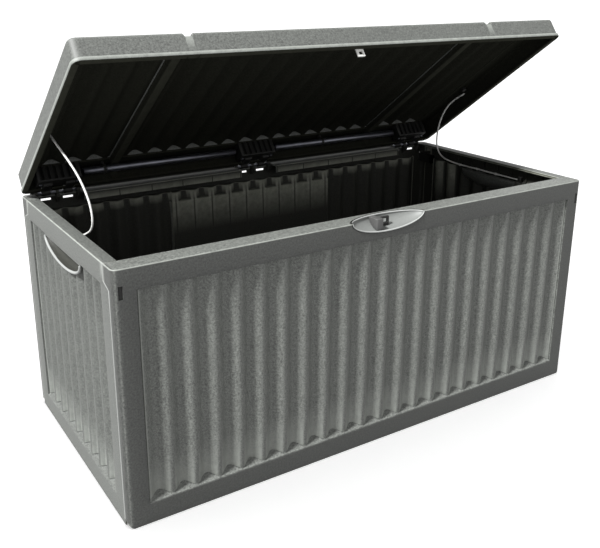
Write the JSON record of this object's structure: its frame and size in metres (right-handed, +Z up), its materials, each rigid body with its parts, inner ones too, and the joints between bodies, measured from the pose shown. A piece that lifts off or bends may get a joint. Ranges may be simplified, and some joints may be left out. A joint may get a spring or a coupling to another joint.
{
  "type": "deck storage box",
  "caption": "Storage box with corrugated moulded walls and a ribbed lid on pin hinges, with side grips, stay cords and a front latch hollow.",
  "frame": {"origin": "on the floor under the middle of the box, on the underside of the floor panel", "axes": "+Z up, +X to the right along the long side, the latch side faces -Y"},
  "size_m": [1.208, 0.5913, 0.8962],
  "materials": {
    "dark_resin": "grained anthracite resin",
    "black_resin": "black moulded resin",
    "grey_resin": "mid grey moulded resin",
    "steel": "dull zinc-plated steel",
    "pale_cord": "off-white cord"
  },
  "bodies": {
    "box": {"cord_peg_left": "black_resin", "cord_peg_right": "black_resin", "floor_panel": "dark_resin", "front_panel": "dark_resin", "hinge_pin_left": "steel", "hinge_pin_middle": "steel", "hinge_pin_right": "steel", "latch_post": "grey_resin", "latch_staple": "black_resin", "left_panel": "dark_resin", "rear_panel": "dark_resin", "right_panel": "dark_resin", "stay_cord_left": "pale_cord", "stay_cord_right": "pale_cord"},
    "lid": {"cord_stud_left": "black_resin", "cord_stud_right": "black_resin", "hinge_block_left": "black_resin", "hinge_block_middle": "black_resin", "hinge_block_right": "black_resin", "hinge_screw_left_a": "steel", "hinge_screw_left_b": "steel", "hinge_screw_middle_a": "steel", "hinge_screw_middle_b": "steel", "hinge_screw_right_a": "steel", "hinge_screw_right_b": "steel", "latch_tongue": "grey_resin", "lid": "dark_resin", "lid_stiffener_left": "steel", "lid_stiffener_right": "steel", "stiffener_clamp_left": "black_resin", "stiffener_clamp_right": "black_resin"}
  },
  "joints": [
    {"name": "lid_hinge", "type": "hinge", "parent": "box", "child": "lid", "pos_m": [0, 0.2825, 0.522], "axis": [-1, 0, 0], "range_deg": [-36, 57], "deforming": ["stay_cord_left", "stay_cord_right"]}
  ]
}
